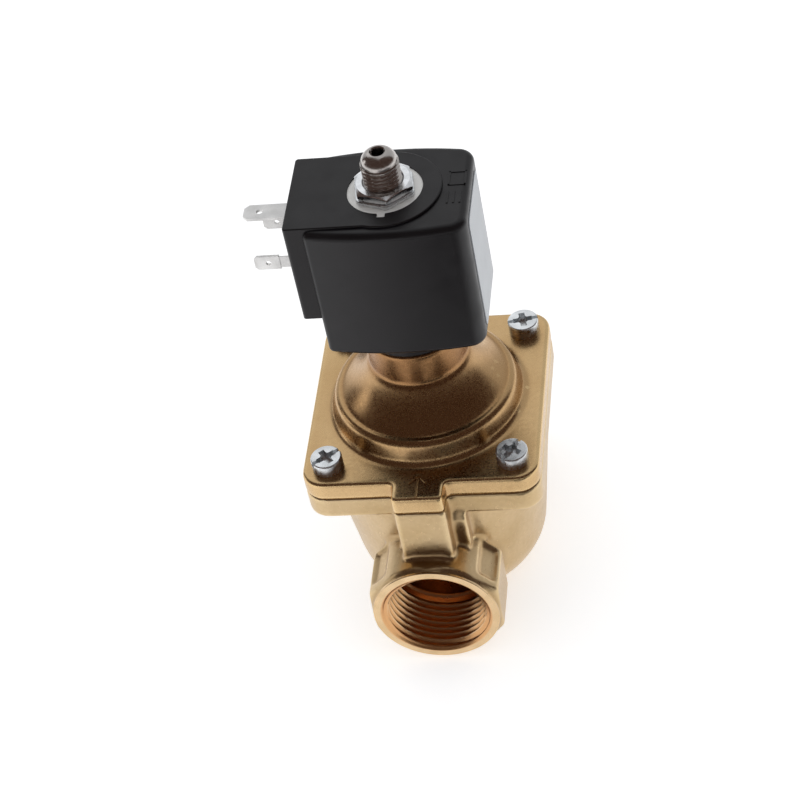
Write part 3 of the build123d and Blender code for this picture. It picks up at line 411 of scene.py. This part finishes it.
def turned_steel(name, color, roughness):
    """Dull stainless with fine turning lines round the vertical axis."""
    finish = Finish(name, color, 1.0, roughness)
    texture = finish.nodes.new("ShaderNodeTexWave")
    texture.bands_direction = "Z"
    texture.inputs["Scale"].default_value = 1500
    texture.inputs["Distortion"].default_value = 1.2
    finish.links.new(finish.place, texture.inputs["Vector"])
    lines = texture.outputs["Fac"]
    patch = finish.ramp(finish.noise(500, 3), 0.35, 0.7)
    tone = finish.mix(patch, tuple(c * 0.7 for c in color), color)
    finish.link(finish.mix(lines, tuple(c * 0.85 for c in color), tone), "Base Color")
    finish.link(finish.ramp(lines, 0.0, 1.0, roughness - 0.05, roughness + 0.07), "Roughness")
    finish.bump(lines, 0.003 * MM)
    return finish.made


def soft_rubber(name):
    finish = Finish(name, (0.02, 0.02, 0.02), 0.0, 0.75)
    finish.link(finish.ramp(finish.noise(600, 3), 0.3, 0.7, 0.68, 0.85), "Roughness")
    finish.bump(finish.noise(1800, 3), 0.02 * MM)
    return finish.made


def wound_wire(name):
    """Enamelled copper wire, wound in even turns up the coil's height."""
    finish = Finish(name, (0.55, 0.20, 0.08), 1.0, 0.3)
    texture = finish.nodes.new("ShaderNodeTexWave")
    texture.bands_direction = "Z"
    texture.inputs["Scale"].default_value = 900
    finish.links.new(finish.place, texture.inputs["Vector"])
    turns = texture.outputs["Fac"]
    finish.link(finish.mix(turns, (0.20, 0.06, 0.02), (0.62, 0.24, 0.10)), "Base Color")
    finish.bump(turns, 0.08 * MM)
    return finish.made


def label_film(name):
    """Blank grey film with a faint satin weave."""
    finish = Finish(name, (0.50, 0.52, 0.54), 0.25, 0.42)
    cloud = finish.noise(120, 3)
    finish.link(finish.mix(cloud, (0.44, 0.46, 0.48), (0.54, 0.56, 0.58)), "Base Color")
    finish.bump(finish.noise(2400, 2), 0.006 * MM)
    return finish.made


def make_materials():
    return {
        "body": cast_brass("body_brass", *BODY_TONES, 0.30, 0.004),
        "cover": cast_brass("cover_brass", *COVER_TONES, 0.27, 0.001),
        "machined": machined_brass("machined_brass"),
        "plastic": moulded_plastic("coil_plastic", (0.0062, 0.0052, 0.0062), 0.34),
        "bobbin": moulded_plastic("bobbin_plastic", (0.16, 0.15, 0.14), 0.5),
        "zinc": plated_steel("zinc_steel", (0.92, 0.95, 0.97), 0.30),
        "nut": plated_steel("nut_steel", (0.90, 0.92, 0.94), 0.18),
        "stainless": plated_steel("tube_steel", (0.40, 0.37, 0.35), 0.24),
        "turned": turned_steel("turned_steel", (0.62, 0.58, 0.55), 0.22),
        "plate": brushed_plate("pole_steel", (0.95, 0.94, 0.91), 0.5, 0.5),
        "tin": plated_steel("tinned", (0.98, 0.97, 0.95), 0.42, 250, 0.35),
        "copper": plated_steel("shading_copper", (0.72, 0.36, 0.20), 0.3),
        "winding": wound_wire("copper_wire"),
        "rubber": soft_rubber("seal_rubber"),
        "label": label_film("label_film"),
    }


MATERIALS = make_materials()

CAD_FINISH = {
    "cover_screws": "zinc", "coil_nut": "nut", "lock_washer": "zinc", "armature_tube": "stainless",
    "tube_bush": "cover", "shading_ring": "copper", "diaphragm": "rubber", "main_seal_disc": "rubber",
    "diaphragm_support": "plate", "diaphragm_screw": "stainless", "diaphragm_nut": "stainless",
    "main_spring": "stainless", "plunger": "stainless", "plunger_lower_seal": "rubber",
    "plunger_upper_seal": "rubber", "plunger_spring": "stainless", "coil_housing": "plastic",
    "coil_label": "label", "coil_top_plate": "plate", "magnet_frame": "plate", "bobbin": "bobbin",
    "winding": "winding", "coil_base_ring": "plastic", "terminal_earth": "tin",
    "terminal_line": "tin", "terminal_neutral": "tin", "pilot_o_ring": "rubber",
    "tube_o_ring": "rubber", "valve_body": "body", "cover": "cover", "exhaust_stub": "turned",
}


def dress(piece, finish):
    piece.data.materials.clear()
    piece.data.materials.append(MATERIALS[finish])


# ---------------------------------------------------------------- turned pieces with real threads


def turned(name, stations, axis, centre, segments, body, finish, sharp=35):
    """Closed ring of metal about an axis. Each station is (distance along the axis, radius), where
    the radius may be a function of the angle."""
    angles = np.arange(segments) * 2 * math.pi / segments
    points = []
    for along, radius in stations:
        radii = radius(angles) if callable(radius) else np.full(segments, radius)
        across, up = radii * np.cos(angles), radii * np.sin(angles)
        line = np.full(segments, along)
        columns = (across, up, line) if axis == "Z" else (across, line, up)
        points.append(np.stack(columns, 1) + np.array(centre))
    vertices = np.concatenate(points)
    faces = []
    for ring in range(len(stations)):
        here, there = ring * segments, (ring + 1) % len(stations) * segments
        for k in range(segments):
            after = (k + 1) % segments
            faces.append((here + k, here + after, there + after, there + k))
    mesh = bpy.data.meshes.new(name)
    mesh.from_pydata(vertices.tolist(), [], faces)
    piece = bpy.data.objects.new(name, mesh)
    bpy.context.scene.collection.objects.link(piece)
    tidy_normals(mesh, sharp)
    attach(piece, body)
    dress(piece, finish)
    return piece


def tidy_normals(mesh, sharp):
    work = bmesh.new()
    work.from_mesh(mesh)
    bmesh.ops.recalc_face_normals(work, faces=work.faces)
    work.to_mesh(mesh)
    work.free()
    mesh.polygons.foreach_set("use_smooth", [True] * len(mesh.polygons))
    mesh.set_sharp_from_angle(angle=math.radians(sharp))


def thread_wave(turn):
    """Rounded thread form: 0 at the root and 1 at the crest, for a position counted in turns."""
    part = np.abs(((turn % 1.0) * 2) - 1)
    return np.clip((part - 0.10) / 0.82, 0, 1) ** 0.92


def port_thread(name, side):
    """Machined mouth of a port: flat ring, chamfer, helical pipe thread and its run-out."""
    face = side * PORT_FACE_Y
    root = PORT_THREAD_R - 0.12 * MM
    depth = 1.42 * MM
    first, last = 0.45 * MM, 18.6 * MM
    sleeve_r, ring_r, throat_r = 17.6 * MM, 19.5 * MM, 15.5 * MM
    inner_end, ring_edge = 21.6 * MM, 0.14 * MM

    def at(distance):
        return face - side * distance

    def wall(distance):
        run_in, run_out = (distance - first) / (0.9 * MM), (last - distance) / (1.2 * MM)
        fade = min(1.0, max(0.0, run_in), max(0.0, run_out))

        def radius(angles):
            turn = distance / PORT_PITCH - angles * side / (2 * math.pi)
            return root - depth * fade * thread_wave(turn)

        return radius

    stations = [
        (at(inner_end), sleeve_r), (at(1.5 * MM), sleeve_r), (at(1.2 * MM), ring_r),
        (at(ring_edge), ring_r), (at(0.0), ring_r - ring_edge), (at(0.0), 17.1 * MM),
        (at(0.06 * MM), 17.0 * MM),
    ]
    step = PORT_PITCH / 22
    count = int((last - first) / step)
    stations += [(at(first + k * step), wall(first + k * step)) for k in range(count + 1)]
    stations += [(at(19.0 * MM), root), (at(20.6 * MM), throat_r), (at(inner_end), throat_r)]
    turned(name, stations, "Y", (0, 0, PORT_AXIS_Z), 180, "valve", "machined", 30)


def threaded_stub():
    """Exhaust stub: fixed core, shank, helical thread, rounded tip and through hole."""
    low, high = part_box("exhaust_stub")
    nut_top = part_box("coil_nut")[1].z
    thread_top = high.z - 3.9 * MM
    depth = 0.72 * MM
    root = STUB_THREAD_R - depth
    core_r, core_top = 6.74 * MM, 150 * MM
    shank_r = 5.28 * MM
    bore_r = 1.8 * MM

    def wall(height):
        fade = min(1.0, max(0.0, (thread_top - height) / (0.5 * MM)))

        def radius(angles):
            turn = height / STUB_PITCH - angles / (2 * math.pi)
            return root + depth * (1 - fade * (1 - thread_wave(turn)))

        return radius

    def nicked(radius):
        """Bore with two small notches on opposite sides, for a driver."""
        return lambda angles: radius + 0.5 * MM * (np.abs(np.sin(angles)) < 0.26)

    stations = [
        (low.z, bore_r), (low.z, 5.1 * MM), (low.z + 1.4 * MM, 5.1 * MM), (low.z + 1.4 * MM, 6.3 * MM),
        (low.z, 6.3 * MM), (low.z, core_r), (core_top, core_r), (core_top, shank_r),
        (nut_top - 0.4 * MM, shank_r),
    ]
    step = STUB_PITCH / 16
    count = int((thread_top - nut_top) / step) + 2
    start = thread_top - count * step
    stations += [(start + k * step, wall(start + k * step)) for k in range(count + 1)]
    dome_r = STUB_THREAD_R - 0.30 * MM
    crown_z = thread_top + 0.30 * MM
    rise = high.z - crown_z
    stations.append((crown_z, dome_r))
    rim_r, sweep, steps = 2.3 * MM, math.radians(78), 14
    for k in range(1, steps + 1):
        swing = k / steps * sweep
        inward = (math.cos(swing) - math.cos(sweep)) / (1 - math.cos(sweep))
        lift = math.sin(swing) / math.sin(sweep)
        stations.append((crown_z + rise * lift, rim_r + (dome_r - rim_r) * inward))
    stations += [(high.z - 0.25 * MM, nicked(1.95 * MM)), (high.z - 0.9 * MM, nicked(bore_r))]
    stations += [(high.z - 0.95 * MM, bore_r)]
    stub = turned("threaded_stub", stations, "Z", (0, 0, 0), 96, "valve", "turned", 32)
    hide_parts("exhaust_stub")


def hexagon(flats, turn, cap):
    """Radius of a hexagon whose corners stand at turn degrees and every 60 from there, cut off at
    the radius cap."""

    def radius(angles):
        from_flat = (angles - math.radians(turn)) % (math.pi / 3) - math.pi / 6
        return np.minimum(flats / 2 / np.cos(from_flat), cap)

    return radius


def hex_nut():
    """Flat nut with corners turned off at 30 degrees and a countersunk bore."""
    low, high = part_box("coil_nut")
    flats = NUT_FLATS
    face_r = flats / 2 - 0.25 * MM
    rises = [k * 0.1 * MM for k in range(9)]
    caps = [face_r + rise * math.tan(math.radians(62)) for rise in rises]
    stations = [(low.z, 5.3 * MM), (low.z, face_r - 0.3 * MM)]
    stations += [(low.z + rise, hexagon(flats, NUT_TURN, cap)) for rise, cap in zip(rises, caps)]
    stations += [
        (high.z - rise, hexagon(flats, NUT_TURN, cap)) for rise, cap in reversed(list(zip(rises, caps)))
    ]
    stations += [(high.z, face_r - 0.3 * MM), (high.z, 6.1 * MM)]
    stations += [(high.z - 0.7 * MM, 5.4 * MM), (high.z - 0.7 * MM, 5.3 * MM)]
    nut = turned("hex_nut", stations, "Z", (0, 0, 0), 240, "valve", "nut", 24)
    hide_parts("coil_nut")


def lock_plate():
    """Stamped six-sided lock plate under the nut, with rounded edges and corners."""
    low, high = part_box("lock_washer")
    flats = LOCK_FLATS
    round_off = 0.22 * MM
    cap = 9.35 * MM
    shapes = [hexagon(flats - 2 * inset, LOCK_TURN, cap - inset) for inset in (round_off, 0.3 * round_off, 0)]
    lifts = (0, 0.3 * round_off, round_off)
    stations = [(low.z, 5.3 * MM), (low.z, 7.9 * MM)]
    stations += [(low.z + lift, shape) for lift, shape in zip(lifts, shapes)]
    stations += [(high.z - lift, shape) for lift, shape in reversed(list(zip(lifts, shapes)))]
    stations += [(high.z, 7.9 * MM), (high.z, 5.3 * MM)]
    plate = turned("lock_plate", stations, "Z", (0, 0, 0), 240, "valve", "zinc", 40)
    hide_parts("lock_washer")


def spring(name, node, wire_r, turns):
    """Round-wire compression spring with closed end turns."""
    low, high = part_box(node)
    mean_r = (high.x - low.x) / 2 - wire_r
    steps, around = 40, 10
    count = int(turns * steps)
    foot, top = low.z + wire_r, high.z - wire_r
    rings = []
    for k in range(count + 1):
        share = k / count
        angle = share * turns * 2 * math.pi
        closed = min(1.0, max(0.0, (share * turns - 0.7) / (turns - 1.4)))
        centre = np.array((mean_r * math.cos(angle), mean_r * math.sin(angle), foot + (top - foot) * closed))
        outward = np.array((math.cos(angle), math.sin(angle), 0))
        sweep = np.arange(around) * 2 * math.pi / around
        circle = np.outer(np.cos(sweep), outward) + np.outer(np.sin(sweep), (0, 0, 1))
        rings.append(centre + wire_r * circle)
    faces = []
    for k in range(count):
        here, there = k * around, (k + 1) * around
        for m in range(around):
            after = (m + 1) % around
            faces.append((here + m, here + after, there + after, there + m))
    faces += [tuple(range(around)), tuple(count * around + m for m in range(around))]
    mesh = bpy.data.meshes.new(name)
    mesh.from_pydata(np.concatenate(rings).tolist(), [], faces)
    piece = bpy.data.objects.new(name, mesh)
    bpy.context.scene.collection.objects.link(piece)
    tidy_normals(mesh, 50)
    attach(piece, "valve")
    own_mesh(piece)
    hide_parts(node)
    dress(piece, "stainless")


def raised_bars(name, bars, base_z, rise, soft, body, finish):
    """Raised marks with softened edges that stand on a flat face."""
    sunk = 0.08 * MM
    work = bmesh.new()
    for x, y, width, length, turn in bars:
        place = Matrix.Translation((x * MM, y * MM, base_z + (rise - sunk) / 2))
        place = place @ Matrix.Rotation(math.radians(turn), 4, "Z")
        size = Matrix.Diagonal((width * MM, length * MM, rise + sunk, 1))
        bar = bmesh.ops.create_cube(work, size=1, matrix=place @ size)
        edges = {edge for vertex in bar["verts"] for edge in vertex.link_edges}
        bmesh.ops.bevel(work, geom=list(edges), offset=soft, segments=3, affect="EDGES")
    mesh = bpy.data.meshes.new(name)
    work.to_mesh(mesh)
    work.free()
    piece = bpy.data.objects.new(name, mesh)
    bpy.context.scene.collection.objects.link(piece)
    tidy_normals(mesh, 35)
    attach(piece, body)
    dress(piece, finish)


# ---------------------------------------------------------------- castings


def edge_pairs(mesh):
    pairs = np.zeros(len(mesh.edges) * 2, np.int64)
    mesh.edges.foreach_get("vertices", pairs)
    return pairs.reshape(-1, 2)


def neighbour_mean(values, pairs, count):
    """Average of each vertex's neighbours."""
    total = np.zeros_like(values)
    for k in range(values.shape[1]):
        total[:, k] = np.bincount(pairs[:, 0], values[pairs[:, 1], k], len(values))
        total[:, k] += np.bincount(pairs[:, 1], values[pairs[:, 0], k], len(values))
    return total / count[:, None]


def vertex_normals(mesh):
    normals = np.zeros(len(mesh.vertices) * 3, np.float32)
    mesh.vertices.foreach_get("normal", normals)
    return normals.reshape(-1, 3).astype(float)


def casting(name, node, voxel, held, soft_rounds, fillet_rounds, grain, finish, cut=None):
    """Copy of a CAD node with a casting's rounded hollows and uneven skin. held gives, from 0 to 1,
    how much each point keeps its machined shape, and cut gives each point's final height."""
    rough = bpy.data.objects.new(name, NODES[node].data.copy())
    bpy.context.scene.collection.objects.link(rough)
    rough.modifiers.new("weld", "WELD").merge_threshold = 0.001 * MM
    remesh = rough.modifiers.new("voxels", "REMESH")
    remesh.mode = "VOXEL"
    remesh.voxel_size = voxel
    graph = bpy.context.evaluated_depsgraph_get()
    mesh = bpy.data.meshes.new_from_object(rough.evaluated_get(graph))
    rough.modifiers.clear()
    rough.data = mesh
    mesh.name = name

    points = np.zeros(len(mesh.vertices) * 3, np.float32)
    mesh.vertices.foreach_get("co", points)
    points = points.reshape(-1, 3).astype(float)
    pairs = edge_pairs(mesh)
    count = np.bincount(pairs.ravel(), minlength=len(points)).astype(float)
    keep = held(points)[:, None]

    def smooth(share, rounds):
        nonlocal points
        for _ in range(rounds):
            points = points + (neighbour_mean(points, pairs, count) - points) * share * (1 - keep)

    smooth(0.5, soft_rounds)
    mesh.vertices.foreach_set("co", points.astype(np.float32).ravel())
    mesh.update()
    pull = neighbour_mean(points, pairs, count) - points
    hollow = np.einsum("ij,ij->i", pull, vertex_normals(mesh))
    hollow = np.clip(hollow / (0.05 * voxel), 0, 1)[:, None]
    for _ in range(5):
        hollow = np.maximum(hollow, neighbour_mean(hollow, pairs, count) * 1.05)
    smooth(0.6 * np.clip(hollow, 0, 1), fillet_rounds)

    mesh.vertices.foreach_set("co", points.astype(np.float32).ravel())
    mesh.update()
    normals = vertex_normals(mesh)
    coarse = np.array([noise.noise(Vector(p) * 260) for p in points])
    fine = np.array([noise.noise(Vector(p) * 900) for p in points])
    skin = (coarse * 0.6 + fine * 0.4 - 0.35) * grain
    points = points + normals * skin[:, None] * (1 - keep)
    low, high = (np.array(corner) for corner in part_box(node))
    points = np.clip(points, low, high)
    if cut is not None:
        points[:, 2] = cut(points)
    mesh.vertices.foreach_set("co", points.astype(np.float32).ravel())
    mesh.update()
    mesh.polygons.foreach_set("use_smooth", [True] * len(mesh.polygons))
    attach(rough, "valve")
    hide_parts(node)
    dress(rough, finish)


MACHINED = 0.85


def body_held(points):
    """The mouths and bores of the ports and the joint face are machined."""
    across = np.hypot(points[:, 0], points[:, 2] - PORT_AXIS_Z)
    mouth = (np.abs(points[:, 1]) > PORT_FACE_Y - 1.4 * MM) & (across < 20.2 * MM)
    bore = (across < 17.0 * MM) & (np.abs(points[:, 1]) > 27 * MM)
    joint = points[:, 2] > SPLIT_Z - 0.05 * MM
    return (mouth | bore | joint).astype(float) * MACHINED


def cover_held(points):
    """The joint face is machined."""
    return (points[:, 2] < SPLIT_Z + 0.05 * MM).astype(float) * MACHINED


def flat_tab(points):
    """Heights with the tab's top left flat, where the crisp arrow stands."""
    on_tab = (np.abs(points[:, 0]) < 5 * MM) & (points[:, 1] < -33 * MM)
    return np.where(on_tab, np.minimum(points[:, 2], COVER_FLANGE_Z), points[:, 2])


make_camera()
make_studio()
for node, finish in CAD_FINISH.items():
    dress(NODES[node], finish)

casting(
    "body_casting", "valve_body", 0.5 * MM, body_held, soft_rounds=4, fillet_rounds=12,
    grain=0.05 * MM, finish="body",
)
casting(
    "cover_casting", "cover", 0.4 * MM, cover_held, soft_rounds=9, fillet_rounds=7,
    grain=0.012 * MM, finish="cover", cut=flat_tab,
)
raised_bars("flow_arrow", ARROW_BARS, COVER_FLANGE_Z, 0.4 * MM, 0.22 * MM, "valve", "cover")
port_thread("inlet_thread", -1)
port_thread("outlet_thread", 1)
threaded_stub()
hex_nut()
lock_plate()
raised_bars("mould_marks", MARK_BARS, SHOULDER_Z, 0.2 * MM, 0.08 * MM, "coil", "plastic")
spring("closing_spring", "main_spring", 0.6 * MM, 5.5)
spring("pilot_spring", "plunger_spring", 0.4 * MM, 6.5)
